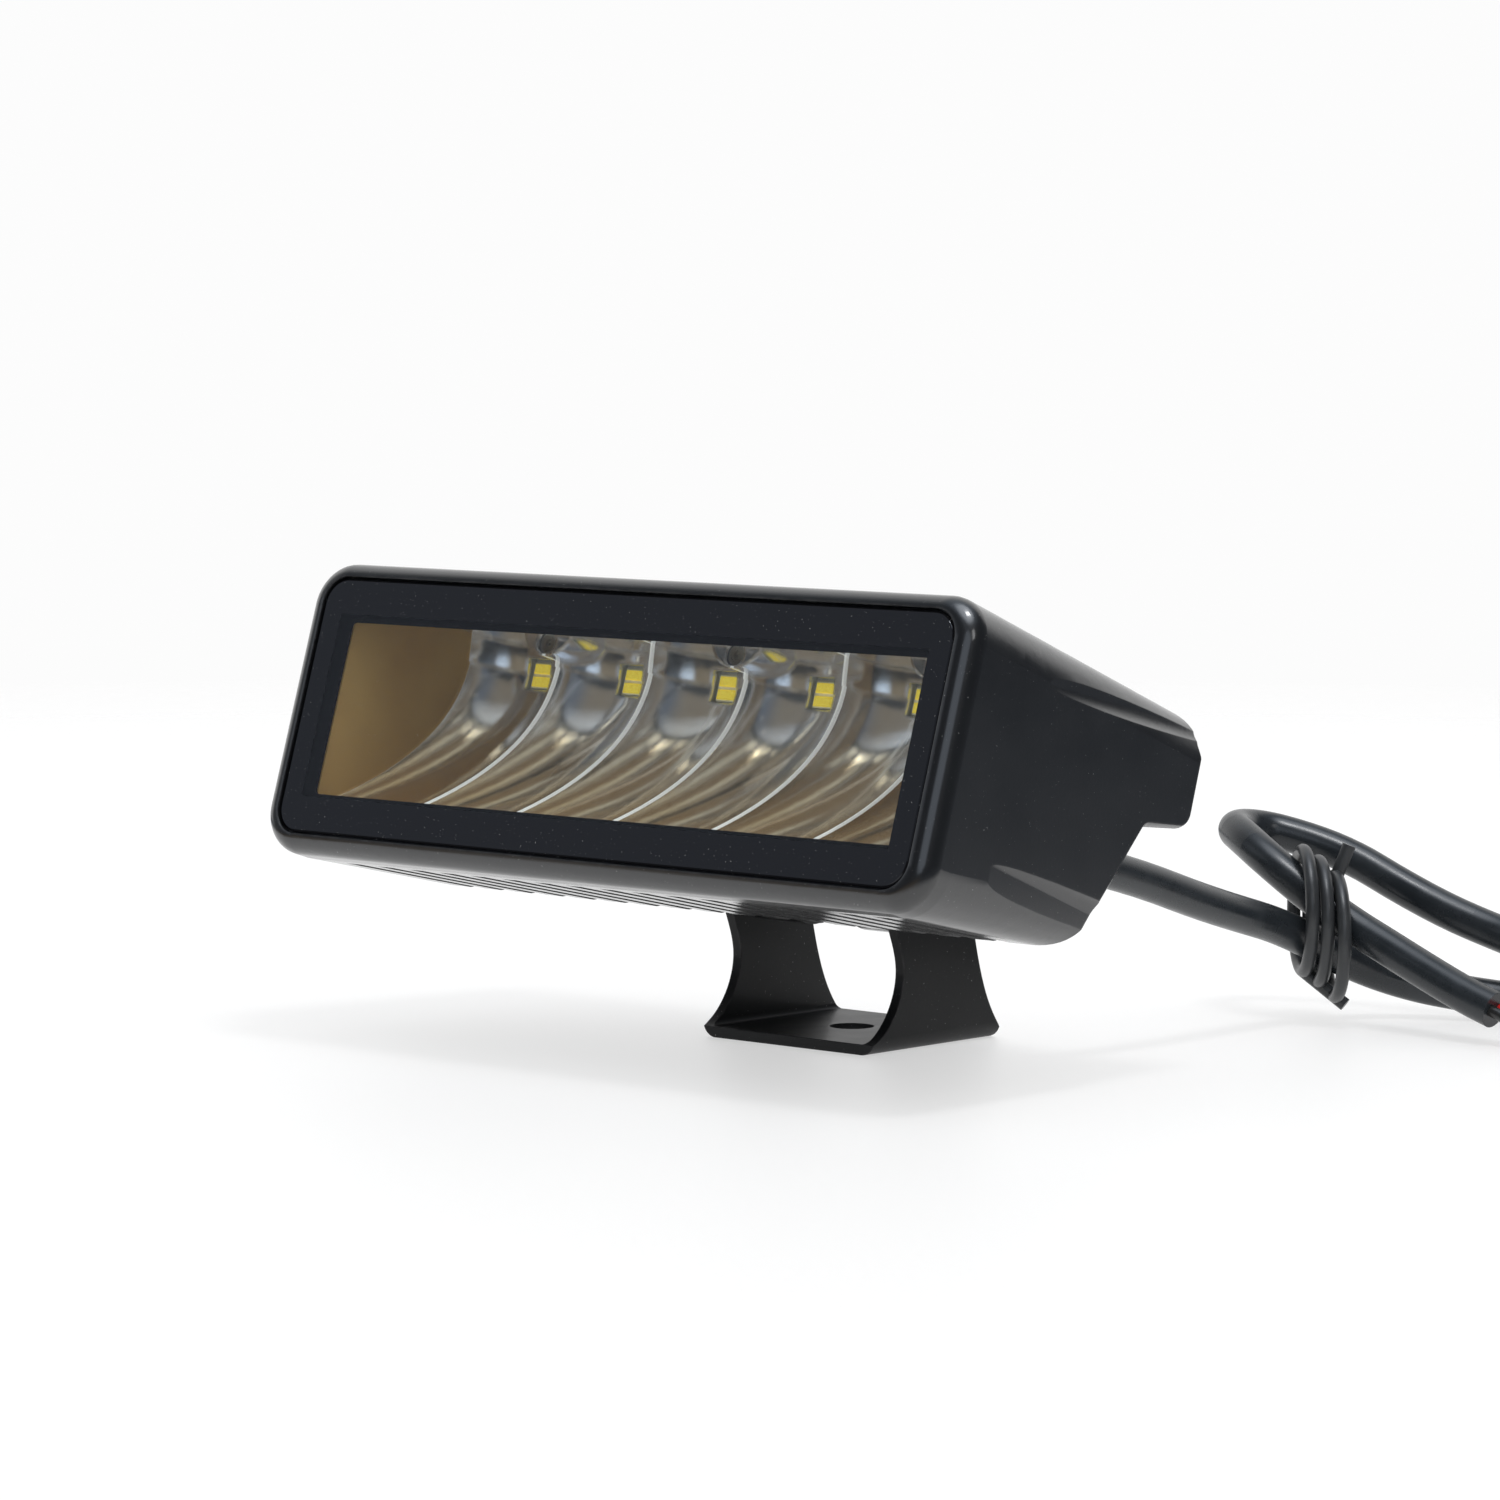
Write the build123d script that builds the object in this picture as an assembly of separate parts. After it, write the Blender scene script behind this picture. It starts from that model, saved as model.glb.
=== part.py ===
from build123d import *
import os
from math import sqrt

# A small fog light: a die-cast head with six LED bowls behind flat glass, tilting in a
# U-shaped foot, with its cable coiled behind it. All sizes are in millimetres.
#
# Two frames are used. The part frame has its origin at the middle of the foot's bolt
# hole on the underside, +Z up, and the light shines towards -Y. The head frame is the
# head's own straight frame: origin at the middle of the front rim, X to the right
# seen from the front, Y to the rear and Z up. Head pieces are modelled in the head
# frame and then set down in the part frame at the head's resting tilt.

# ---- Driving dimensions: head ----
HEAD_WIDTH = 161.0
HEAD_HEIGHT = 56.0
HEAD_DEPTH = 71.8
FRONT_CORNER = 8.5
RIM_FILLET = 3.8
REST_TILT = 17.5
PIVOT_IN_HEAD = (73.4, -10.9)
PIVOT_IN_PART = (-2.56, 30.2)

# ---- Driving dimensions: glass, mask and seal ----
GLASS_WIDTH = 152.2
GLASS_HEIGHT = 48.6
GLASS_CORNER = 5.0
GLASS_THICK = 2.2
GLASS_SETBACK = 0.3
GLASS_GAP = 0.4
MASK_THICK = 0.3
SEAL_THICK = 0.6
WINDOW_WIDTH = 140.0
WINDOW_HEIGHT = 33.0
WINDOW_CORNER = 1.0

# ---- Driving dimensions: cavity and fins ----
WALL = 2.5
CAVITY_HALF_WIDTH = 72.8
CAVITY_BOTTOM = -20.8
CAVITY_TOP = 23.5
CAVITY_BACK = 47.0
FIN_PITCH = 8.0
FIN_GAP = 3.8
FIN_GAPS_EACH_SIDE = 8

# ---- Driving dimensions: optics ----
CELLS = 6
CELL_PITCH = 23.67
LED_HEIGHT = 17.5
BOWL_BACK = 43.5
BOWL_CURVE = 40.8
RIDGE_RISE = 8.4
RIDGE_HALF = 0.2
LED_OPENING = 6.0
BOARD_FRONT = 45.0
BOARD_THICK = 1.6
PAD_THICK = 0.4

# ---- Driving dimensions: foot and pivot ----
FOOT_WIDTH = 42.0
FOOT_DEPTH = 36.6
SHEET = 2.0
BEND_INSIDE = 1.0
EAR_HEAD_RADIUS = 11.8
FOOT_HOLE_RADIUS = 4.25
PIVOT_BOLT_RADIUS = 3.0
PIVOT_CLEARANCE = 0.06
LUG_GAP = 0.1

# ---- Driving dimensions: cable ----
CABLE_RADIUS = 3.5
CORE_RADIUS = 1.1
CORE_OFFSET = 1.25
STRAND_RADIUS = 0.7
GLAND_X = 54.0
GLAND_Z = -4.0
VENT_Z = -7.0

cell_centres = [(i - (CELLS - 1) / 2) * CELL_PITCH for i in range(CELLS)]
pocket_centres = [-2 * CELL_PITCH, 0.0, 2 * CELL_PITCH]


# ---- Helpers ----
def head_place():
    """Where the head frame sits in the part frame."""
    pivot_y, pivot_z = PIVOT_IN_PART
    head_y, head_z = PIVOT_IN_HEAD
    return Pos(0, pivot_y, pivot_z) * Rot(-REST_TILT, 0, 0) * Pos(0, -head_y, -head_z)


def head_point(x, y, z):
    """A head-frame point, given in the part frame."""
    return (head_place() * Pos(x, y, z)).position


def side_face(points):
    """A flat face in the YZ plane from (y, z) points."""
    return make_face(Plane.YZ * Polyline(*points, close=True))


def side_block(face, low_x, high_x):
    """A YZ face pushed out from low_x to high_x."""
    return Pos(low_x, 0, 0) * extrude(face, amount=high_x - low_x, dir=(1, 0, 0))


def front_plate(width, height, corner, low_y, high_y, centre_z=0.0):
    """A plate with rounded corners, parallel to the front, from low_y to high_y."""
    outline = Plane.XZ * RectangleRounded(width, height, corner)
    return Pos(0, low_y, centre_z) * extrude(outline, amount=high_y - low_y, dir=(0, 1, 0))


def box_between(low, high):
    """A box from its lowest corner to its highest corner."""
    size = [b - a for a, b in zip(low, high)]
    centre = [(a + b) / 2 for a, b in zip(low, high)]
    return Pos(*centre) * Box(*size)


def rod_y(radius, low_y, high_y, x, z):
    """A round rod along Y."""
    return Pos(x, (low_y + high_y) / 2, z) * Rot(90, 0, 0) * Cylinder(radius, high_y - low_y)


def rod_x(radius, low_x, high_x, y, z):
    """A round rod along X."""
    return Pos((low_x + high_x) / 2, y, z) * Rot(0, 90, 0) * Cylinder(radius, high_x - low_x)


def rod_z(radius, low_z, high_z, x, y):
    """A round rod along Z."""
    return Pos(x, y, (low_z + high_z) / 2) * Cylinder(radius, high_z - low_z)


def swept(section, path):
    """A flat section, drawn about the origin, swept along a path from its start."""
    start = Plane(origin=path @ 0, z_dir=path % 0)
    return sweep(start * section, path=path)


def group(solids):
    """Separate solids that share one node."""
    return Compound(children=[s for item in solids for s in item.solids()])


# ---- Housing ----
TAPER_START = 7.0
FLOOR_RISE_START = 17.0
LOFT_END = 76.0
NOTCH_TOP = (59.0, 0.8)
HEEL = (46.0, -24.3)
REAR_LOW = (HEAD_DEPTH, 3.4)
REAR_STEP = (HEAD_DEPTH, 16.6)
REAR_UPPER = (70.2, 18.6)
REAR_TOP = (69.3, 24.0)
SKIN = 0.05
UPPER_DROP = ((22.0, 80.0, 14.4), (76.0, 76.2, 19.0))
LOWER_DROP = ((16.0, 80.15, -12.6), (76.0, 75.8, -15.4))
DROP_CORNER = 3.2
REAR_HALF_WIDTH = 79.6
REAR_END_ROUND = 2.6


def top_line(y):
    """Height of the head's top face at depth y."""
    return HEAD_HEIGHT / 2 + (REAR_TOP[1] - HEAD_HEIGHT / 2) * y / REAR_TOP[0]


def bottom_line(y):
    """Height of the head's underside at depth y: flat at first, then rising."""
    rise = (HEEL[1] + HEAD_HEIGHT / 2) / (HEEL[0] - TAPER_START)
    return -HEAD_HEIGHT / 2 + max(0.0, y - TAPER_START) * rise


def side_profile():
    """The head's side outline, with its rear corners rounded."""
    outline = side_face(
        [
            (-1.0, bottom_line(0) - SKIN),
            (-1.0, top_line(-1) + SKIN),
            (REAR_TOP[0], REAR_TOP[1] + SKIN),
            REAR_UPPER,
            REAR_STEP,
            REAR_LOW,
            NOTCH_TOP,
            (HEEL[0], HEEL[1] - SKIN),
            (TAPER_START, bottom_line(TAPER_START) - SKIN),
        ]
    )
    corners = [(REAR_TOP, 4.5), (REAR_UPPER, 1.2), (REAR_STEP, 1.2), (REAR_LOW, 3.5), (NOTCH_TOP, 1.5), (HEEL, 5.0)]
    for (y, z), radius in corners:
        corner = outline.vertices().sort_by_distance((0, y, z))[0]
        outline = fillet(corner, radius)
    return outline


def rounded_profile():
    """The side outline pushed across the head, with its end edges rounded at the rear."""
    outline = side_profile()
    ends_from = 40.0
    rear = side_block(outline, -REAR_HALF_WIDTH, REAR_HALF_WIDTH)
    ends = rear.faces().sort_by(Axis.X)
    rear = fillet(ends[0].edges() + ends[-1].edges(), REAR_END_ROUND)
    front = side_block(outline, -HEAD_WIDTH, HEAD_WIDTH)
    front &= box_between((-HEAD_WIDTH, -2.0, -50.0), (HEAD_WIDTH, ends_from, 50.0))
    return rear + front


def head_section(y, draft):
    """One rounded section across the head at depth y."""
    high, low = top_line(y), bottom_line(y)
    width = HEAD_WIDTH - 2 * draft * y
    outline = RectangleRounded(width, high - low, FRONT_CORNER)
    return Pos(0, y, (high + low) / 2) * (Plane.XZ * outline)


def end_drop(side, stations, far_z):
    """The shallow drop beside the flat middle band of an end cap, with a soft inner corner.

    Each station is (y, x, z): the drop's floor and the crease height at that depth.
    """
    faces = []
    for y, x, z in stations:
        low, high = sorted((z, far_z))
        outline = Pos(side * (x + 95.0) / 2, (low + high) / 2) * Rectangle(95.0 - x, high - low)
        corner = outline.vertices().sort_by_distance((side * x, z, 0))[0]
        faces.append(Pos(0, y, 0) * (Plane.XZ * fillet(corner, DROP_CORNER)))
    return loft(faces, ruled=True)


def floor_line(y):
    """Height of the cavity floor at depth y."""
    return CAVITY_BOTTOM + max(0.0, y - FLOOR_RISE_START) * 3.4 / 21.0


def cavity():
    """The hollow inside the housing, open at the front."""
    return side_block(
        side_face(
            [
                (-1.0, CAVITY_BOTTOM),
                (FLOOR_RISE_START, CAVITY_BOTTOM),
                (38.0, -17.4),
                (CAVITY_BACK, -1.5),
                (CAVITY_BACK, CAVITY_TOP),
                (-1.0, CAVITY_TOP),
            ]
        ),
        -CAVITY_HALF_WIDTH,
        CAVITY_HALF_WIDTH,
    )


def fin_gap(x):
    """The gap between two fins: it runs under the head, up the notch and over the back."""
    face = side_face(
        [
            (8.5, -30.0),
            (14.0, -23.3),
            (FLOOR_RISE_START, CAVITY_BOTTOM - WALL),
            (39.4, -20.0),
            (CAVITY_BACK + WALL + 0.2, -2.6),
            (CAVITY_BACK + WALL + 0.2, 19.0),
            (57.0, 30.0),
            (85.0, 30.0),
            (85.0, -30.0),
        ]
    )
    return side_block(face, x - FIN_GAP / 2, x + FIN_GAP / 2)


def pivot_lug():
    """The lug between the foot's ears, with a web on each side and a threaded hole."""
    y, z = PIVOT_IN_HEAD
    boss_radius = 9.3
    outline = Plane.YZ * make_hull(
        (Pos(y, z) * Circle(boss_radius) + Pos(57.0, -1.5) * Rectangle(9.0, 9.0)).edges()
    )
    half = FOOT_WIDTH / 2 - SHEET - LUG_GAP
    slot_half = 7.0
    lug = side_block(outline, -half, half)
    slot = box_between((-slot_half, 63.5, -30.0), (slot_half, 90.0, -0.5))
    return lug - slot


def housing():
    """The die-cast head: shell, fins, end caps, pivot lug, gland boss and screw bosses."""
    draft = 0.026
    sections = [head_section(y, draft) for y in (0.0, TAPER_START, LOFT_END)]
    body = loft(sections, ruled=True)
    front_edges = body.faces().sort_by(Axis.Y)[0].edges()
    body = fillet(front_edges, RIM_FILLET)
    profile = rounded_profile()
    body &= profile
    for side in (-1, 1):
        body -= end_drop(side, UPPER_DROP, 45.0)
        body -= end_drop(side, LOWER_DROP, -45.0)
    recess_depth = GLASS_SETBACK + GLASS_THICK + MASK_THICK + SEAL_THICK
    body -= front_plate(
        GLASS_WIDTH + 2 * GLASS_GAP, GLASS_HEIGHT + 2 * GLASS_GAP, GLASS_CORNER + GLASS_GAP, -1.0, recess_depth
    )
    for k in range(-FIN_GAPS_EACH_SIDE, FIN_GAPS_EACH_SIDE + 1):
        body -= fin_gap(k * FIN_PITCH)
    gland_boss = rod_y(6.4, 44.0, GLAND_FACE, GLAND_X, GLAND_Z)
    vent_boss = rod_y(5.6, 44.0, VENT_FACE, -GLAND_X, VENT_Z)
    body += gland_boss + vent_boss + pivot_lug()
    for x in pocket_centres:
        body += rod_y(3.4, CAVITY_BACK, 55.0, x, REFLECTOR_SCREW_Z)
    for x in BOARD_SCREW_X:
        body += rod_y(3.0, CAVITY_BACK, 54.0, x, BOARD_SCREW_Z)
    body -= cavity()
    for x in DRIVER_SCREW_X:
        for y in DRIVER_SCREW_Y:
            body += rod_z(2.4, floor_line(y) - 1.0, DRIVER_BOTTOM, x, y)
    body -= rod_y(GLAND_BODY_RADIUS + 0.03, 40.0, 60.0, GLAND_X, GLAND_Z)
    body -= rod_y(VENT_RADIUS + 0.03, 40.0, 60.0, -GLAND_X, VENT_Z)
    for x in pocket_centres:
        body -= rod_y(REFLECTOR_SCREW_RADIUS + 0.03, 40.0, 53.5, x, REFLECTOR_SCREW_Z)
    for x in BOARD_SCREW_X:
        body -= rod_y(BOARD_SCREW_RADIUS + 0.03, 40.0, 52.6, x, BOARD_SCREW_Z)
    for x in DRIVER_SCREW_X:
        for y in DRIVER_SCREW_Y:
            body -= rod_z(BOARD_SCREW_RADIUS + 0.03, DRIVER_BOTTOM - 3.4, DRIVER_BOTTOM + 1.0, x, y)
    y, z = PIVOT_IN_HEAD
    for side in (-1, 1):
        low, high = sorted((side * 9.0, side * 25.0))
        body -= rod_x(PIVOT_BOLT_RADIUS + 0.03, low, high, y, z)
    return body


# ---- Glass, mask and seal ----
def front_lens():
    """The flat front glass with lightly ground edges."""
    back = GLASS_SETBACK + GLASS_THICK
    glass = front_plate(GLASS_WIDTH, GLASS_HEIGHT, GLASS_CORNER, GLASS_SETBACK, back)
    front_edges = glass.faces().sort_by(Axis.Y)[0].edges()
    return chamfer(front_edges, 0.4)


def lens_mask():
    """The thin black frame behind the glass, with the clear window."""
    front = GLASS_SETBACK + GLASS_THICK
    back = front + MASK_THICK
    sheet = front_plate(GLASS_WIDTH - 1.0, GLASS_HEIGHT - 1.0, GLASS_CORNER - 0.5, front, back)
    return sheet - front_plate(WINDOW_WIDTH, WINDOW_HEIGHT, WINDOW_CORNER, front - 1, back + 1)


def lens_seal():
    """The silicone ring that seals the glass to the housing's ledge."""
    front = GLASS_SETBACK + GLASS_THICK + MASK_THICK
    back = front + SEAL_THICK
    ring = front_plate(GLASS_WIDTH - 0.4, GLASS_HEIGHT - 0.4, GLASS_CORNER - 0.2, front, back)
    high, low = CAVITY_TOP + 0.3, CAVITY_BOTTOM - 0.3
    hole = front_plate(
        2 * CAVITY_HALF_WIDTH + 0.6, high - low, 1.5, front - 1, back + 1, (high + low) / 2
    )
    return ring - hole


# ---- Reflector ----
REFLECTOR_FRONT = 3.9
REFLECTOR_HALF_WIDTH = 72.0
REFLECTOR_BOTTOM = -20.3
REFLECTOR_TOP = 23.3
REFLECTOR_SHELL = 1.2
CEILING_SHELL = 0.4
REFLECTOR_SCREW_Z = 21.2
REFLECTOR_SCREW_RADIUS = 1.0
POCKET_RADIUS = 6.5
POCKET_Z = 25.1
POCKET_FRONT = 31.0
BOARD_SCREW_X = (-66.5, -CELL_PITCH, CELL_PITCH, 66.5)
BOARD_SCREW_Z = 14.2
BOARD_SCREW_RADIUS = 1.25


def bowl_depth(z):
    """Depth of a bowl's deepest line at height z: a parabola below the LED."""
    if z <= LED_HEIGHT:
        return BOWL_BACK - (z - LED_HEIGHT) ** 2 / BOWL_CURVE
    return BOWL_BACK - 0.3 - 0.15 * (z - LED_HEIGHT)


def bowl_section(centre_x, z, depth):
    """A level slice through one bowl, from its ridge line back to its deepest point."""
    half = CELL_PITCH / 2 - RIDGE_HALF
    ridge = depth - RIDGE_RISE
    left, right = centre_x - half, centre_x + half
    edges = [
        ThreePointArc((left, ridge), (centre_x, depth), (right, ridge)),
        Line((right, ridge), (right, ridge - 2.0)),
        Line((right, ridge - 2.0), (left, ridge - 2.0)),
        Line((left, ridge - 2.0), (left, ridge)),
    ]
    return Pos(0, 0, z) * make_face(edges)


def front_section(z, depth):
    """A level slice through the open space in front of all the ridges."""
    front = -40.0
    ridge = depth - RIDGE_RISE
    half = CELLS * CELL_PITCH / 2 - RIDGE_HALF
    return Pos(0, (front + ridge) / 2, z) * Rectangle(2 * half, ridge - front)


def lofted_space(section):
    """A space below the LED level, which curves, joined to the short one above it."""
    floor = REFLECTOR_BOTTOM + REFLECTOR_SHELL
    steps = 7
    heights = [floor + (LED_HEIGHT - floor) * i / (steps - 1) for i in range(steps)]
    scoop = loft([section(z, bowl_depth(z)) for z in heights])
    ceiling = REFLECTOR_TOP - CEILING_SHELL
    lowest = section(LED_HEIGHT, bowl_depth(LED_HEIGHT + 0.001))
    highest = section(ceiling, bowl_depth(ceiling))
    return scoop + loft([lowest, highest], ruled=True)


def reflector():
    """The one-piece bright-plated moulding with its six bowls."""
    steps = 12
    behind = 1.3
    heights = [REFLECTOR_BOTTOM + (LED_HEIGHT - REFLECTOR_BOTTOM) * i / steps for i in range(steps + 1)]
    back = [(bowl_depth(z) + behind, z) for z in heights]
    back_depth = BOWL_BACK + behind
    face = side_face(
        [(REFLECTOR_FRONT, REFLECTOR_BOTTOM)]
        + back
        + [(back_depth, REFLECTOR_TOP), (REFLECTOR_FRONT, REFLECTOR_TOP)]
    )
    body = side_block(face, -REFLECTOR_HALF_WIDTH, REFLECTOR_HALF_WIDTH)
    body -= lofted_space(front_section)
    for x in cell_centres:
        body -= lofted_space(lambda z, depth, x=x: bowl_section(x, z, depth))
    trim = box_between((-80, 0, REFLECTOR_BOTTOM), (80, 60, REFLECTOR_TOP))
    for x in pocket_centres:
        body += rod_y(POCKET_RADIUS, POCKET_FRONT, back_depth, x, POCKET_Z) & trim
    for x in pocket_centres:
        body -= rod_y(REFLECTOR_SCREW_RADIUS + 0.2, 20.0, 60.0, x, REFLECTOR_SCREW_Z)
        body -= rod_y(2.2, 20.0, POCKET_FRONT + 2.4, x, REFLECTOR_SCREW_Z)
    for x in BOARD_SCREW_X:
        body -= rod_y(3.0, BOARD_FRONT - 2.4, 60.0, x, BOARD_SCREW_Z)
    half = LED_OPENING / 2
    for x in cell_centres:
        body -= box_between((x - half, 36.0, LED_HEIGHT - half), (x + half, 60.0, LED_HEIGHT + half))
    return body


def reflector_screws():
    """Three pan-head screws that hold reflector and LED board to the housing."""
    screws = []
    for x in pocket_centres:
        head = rod_y(2.0, POCKET_FRONT + 0.6, POCKET_FRONT + 2.4, x, REFLECTOR_SCREW_Z)
        shank = rod_y(REFLECTOR_SCREW_RADIUS, POCKET_FRONT + 2.0, 53.0, x, REFLECTOR_SCREW_Z)
        drive = rod_y(0.7, POCKET_FRONT, POCKET_FRONT + 1.4, x, REFLECTOR_SCREW_Z)
        screws.append(head + shank - drive)
    return group(screws)


# ---- LED board ----
BOARD_HALF_WIDTH = 70.0
BOARD_LOW = 11.5
BOARD_HIGH = 23.0
LED_SIZE = 5.0


def board_holes():
    """The screw holes shared by the LED board and the thermal pad."""
    holes = [rod_y(REFLECTOR_SCREW_RADIUS + 0.15, 40.0, 60.0, x, REFLECTOR_SCREW_Z) for x in pocket_centres]
    holes += [rod_y(BOARD_SCREW_RADIUS + 0.15, 40.0, 60.0, x, BOARD_SCREW_Z) for x in BOARD_SCREW_X]
    return holes


def led_board():
    """The metal-core board that carries the six LEDs."""
    board = box_between(
        (-BOARD_HALF_WIDTH, BOARD_FRONT, BOARD_LOW),
        (BOARD_HALF_WIDTH, BOARD_FRONT + BOARD_THICK, BOARD_HIGH),
    )
    for hole in board_holes():
        board -= hole
    return board


def thermal_pad():
    """The soft pad that carries heat from the board into the housing."""
    front = BOARD_FRONT + BOARD_THICK
    inset = 0.3
    pad = box_between(
        (-BOARD_HALF_WIDTH + inset, front, BOARD_LOW + inset),
        (BOARD_HALF_WIDTH - inset, front + PAD_THICK, BOARD_HIGH - inset),
    )
    for hole in board_holes():
        pad -= hole
    return pad


def led_packages():
    """The six white LED bodies."""
    half = LED_SIZE / 2
    bodies = []
    for x in cell_centres:
        low = (x - half, BOARD_FRONT - 0.8, LED_HEIGHT - half)
        high = (x + half, BOARD_FRONT, LED_HEIGHT + half)
        bodies.append(box_between(low, high))
    return group(bodies)


def led_phosphors():
    """The yellow light-giving faces: two on each LED, one above the other."""
    faces = []
    for x in cell_centres:
        for low_z in (0.3, -2.2):
            low = (x - 2.1, BOARD_FRONT - 1.4, LED_HEIGHT + low_z)
            high = (x + 2.1, BOARD_FRONT - 0.8, LED_HEIGHT + low_z + 1.9)
            block = box_between(low, high)
            faces.append(chamfer(block.faces().sort_by(Axis.Y)[0].edges(), 0.25))
    return group(faces)


def board_screws():
    """Four small screws that hold the LED board."""
    screws = []
    for x in BOARD_SCREW_X:
        head = rod_y(2.2, BOARD_FRONT - 1.5, BOARD_FRONT, x, BOARD_SCREW_Z)
        shank = rod_y(BOARD_SCREW_RADIUS, BOARD_FRONT - 0.5, 52.0, x, BOARD_SCREW_Z)
        drive = rod_y(0.8, BOARD_FRONT - 1.6, BOARD_FRONT - 0.8, x, BOARD_SCREW_Z)
        screws.append(head + shank - drive)
    return group(screws)


# ---- Driver ----
DRIVER_BOTTOM = -16.0
DRIVER_TOP = DRIVER_BOTTOM + 1.6
DRIVER_X = (-12.0, 62.0)
DRIVER_Y = (23.5, 37.0)
DRIVER_SCREW_X = (-9.0, 59.0)
DRIVER_SCREW_Y = (26.2, 34.4)


def driver_board():
    """The current driver's board on the floor behind the reflector."""
    board = box_between((DRIVER_X[0], DRIVER_Y[0], DRIVER_BOTTOM), (DRIVER_X[1], DRIVER_Y[1], DRIVER_TOP))
    for x in DRIVER_SCREW_X:
        for y in DRIVER_SCREW_Y:
            board -= rod_z(BOARD_SCREW_RADIUS + 0.15, DRIVER_BOTTOM - 1, DRIVER_TOP + 1, x, y)
    return board


def driver_screws():
    """Four screws that hold the driver board."""
    screws = []
    for x in DRIVER_SCREW_X:
        for y in DRIVER_SCREW_Y:
            head = rod_z(2.1, DRIVER_TOP, DRIVER_TOP + 1.3, x, y)
            shank = rod_z(BOARD_SCREW_RADIUS, DRIVER_BOTTOM - 3.0, DRIVER_TOP + 0.5, x, y)
            screws.append(head + shank)
    return group(screws)


def driver_inductor():
    """The drum-core inductor: two flanges and a waist."""
    x, y = 12.0, 33.0
    core = rod_z(2.6, DRIVER_TOP, DRIVER_TOP + 4.5, x, y)
    low = rod_z(3.5, DRIVER_TOP, DRIVER_TOP + 1.0, x, y)
    high = rod_z(3.5, DRIVER_TOP + 3.5, DRIVER_TOP + 4.5, x, y)
    return core + low + high


def driver_capacitors():
    """Two electrolytic capacitors."""
    cans = []
    for x in (26.0, 33.0):
        can = rod_z(2.6, DRIVER_TOP, DRIVER_TOP + 4.8, x, 33.4)
        cans.append(fillet(can.faces().sort_by(Axis.Z)[-1].edges(), 0.5))
    return group(cans)


def driver_chips():
    """The control chip and two switching transistors."""
    chips = []
    for x, size in ((-2.0, 5.0), (2.5 * 8, 4.0), (42.0, 6.0)):
        low = (x - size / 2, 31.0, DRIVER_TOP)
        high = (x + size / 2, 35.0, DRIVER_TOP + 1.5)
        chips.append(chamfer(box_between(low, high).faces().sort_by(Axis.Z)[-1].edges(), 0.3))
    return group(chips)


def link_wire(x):
    """One wire from the driver board up to the LED board's lower edge."""
    path = Spline((x, 35.5, DRIVER_TOP + 0.1), (x, 37.5, -8.0), (x, 42.6, 2.0), (x, 45.8, BOARD_LOW - 0.1))
    return swept(Circle(0.5), path)


# ---- Gland and vent ----
GLAND_BODY_RADIUS = 4.8
GLAND_FACE = 58.5
VENT_RADIUS = 3.0
VENT_FACE = 57.7


def cable_gland():
    """The rubber gland: a plug through the wall and a ribbed nose round the cable."""
    x, z = GLAND_X, GLAND_Z
    nose_length = 7.5
    gland = rod_y(GLAND_BODY_RADIUS, 45.8, GLAND_FACE, x, z)
    nose = Rot(-90, 0, 0) * Cone(4.6, 4.2, nose_length)
    gland += Pos(x, GLAND_FACE + nose_length / 2, z) * nose
    for k in range(3):
        low = GLAND_FACE + 1.6 + 1.9 * k
        gland -= rod_y(7.0, low, low + 0.8, x, z) - rod_y(4.0, low, low + 0.8, x, z)
    return gland - rod_y(CABLE_RADIUS + 0.03, 40.0, 80.0, x, z)


def breather_vent():
    """The vent plug with its slotted cap."""
    x, z = -GLAND_X, VENT_Z
    cap = rod_y(4.4, VENT_FACE, VENT_FACE + 2.0, x, z)
    cap = fillet(cap.faces().sort_by(Axis.Y)[-1].edges(), 0.7)
    vent = rod_y(VENT_RADIUS, 46.5, VENT_FACE, x, z) + cap
    return vent - box_between((x - 0.5, VENT_FACE + 1.2, z - 3.0), (x + 0.5, VENT_FACE + 3.0, z + 3.0))


# ---- Pivot hardware ----
WASHER_THICK = 1.4
SPRING_THICK = 1.6
BOLT_HEAD = 3.6


def mirror_pair(piece):
    """A piece and its mirror image across the middle."""
    return group([piece, mirror(piece, about=Plane.YZ)])


def pivot_bolts():
    """The two socket-head bolts that the head tilts on."""
    y, z = PIVOT_IN_HEAD
    seat = FOOT_WIDTH / 2 + 0.05 + WASHER_THICK + SPRING_THICK
    shank = rod_x(PIVOT_BOLT_RADIUS, 10.5, seat, y, z)
    head = rod_x(5.0, seat, seat + BOLT_HEAD, y, z)
    head = fillet(head.faces().sort_by(Axis.X)[-1].edges(), 1.2)
    hexagon = Plane.YZ * RegularPolygon(2.0, 6, major_radius=False)
    socket = Pos(seat + BOLT_HEAD - 2.2, y, z) * extrude(hexagon, amount=3.0, dir=(1, 0, 0))
    return mirror_pair(shank + head - socket)


def pivot_flat_washers():
    """The flat washers against the ears."""
    y, z = PIVOT_IN_HEAD
    low = FOOT_WIDTH / 2 + 0.05
    ring = rod_x(6.2, low, low + WASHER_THICK, y, z)
    return mirror_pair(ring - rod_x(PIVOT_BOLT_RADIUS + 0.2, low - 1, low + 9, y, z))


def pivot_spring_washers():
    """The split spring washers under the bolt heads."""
    y, z = PIVOT_IN_HEAD
    low = FOOT_WIDTH / 2 + 0.05 + WASHER_THICK
    ring = rod_x(5.2, low, low + SPRING_THICK, y, z)
    ring -= rod_x(PIVOT_BOLT_RADIUS + 0.2, low - 1, low + 9, y, z)
    split = Pos(low + SPRING_THICK / 2, y, z + 4.4) * Rot(0, 0, 35) * Box(6.0, 0.8, 4.0)
    return mirror_pair(ring - split)


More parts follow.
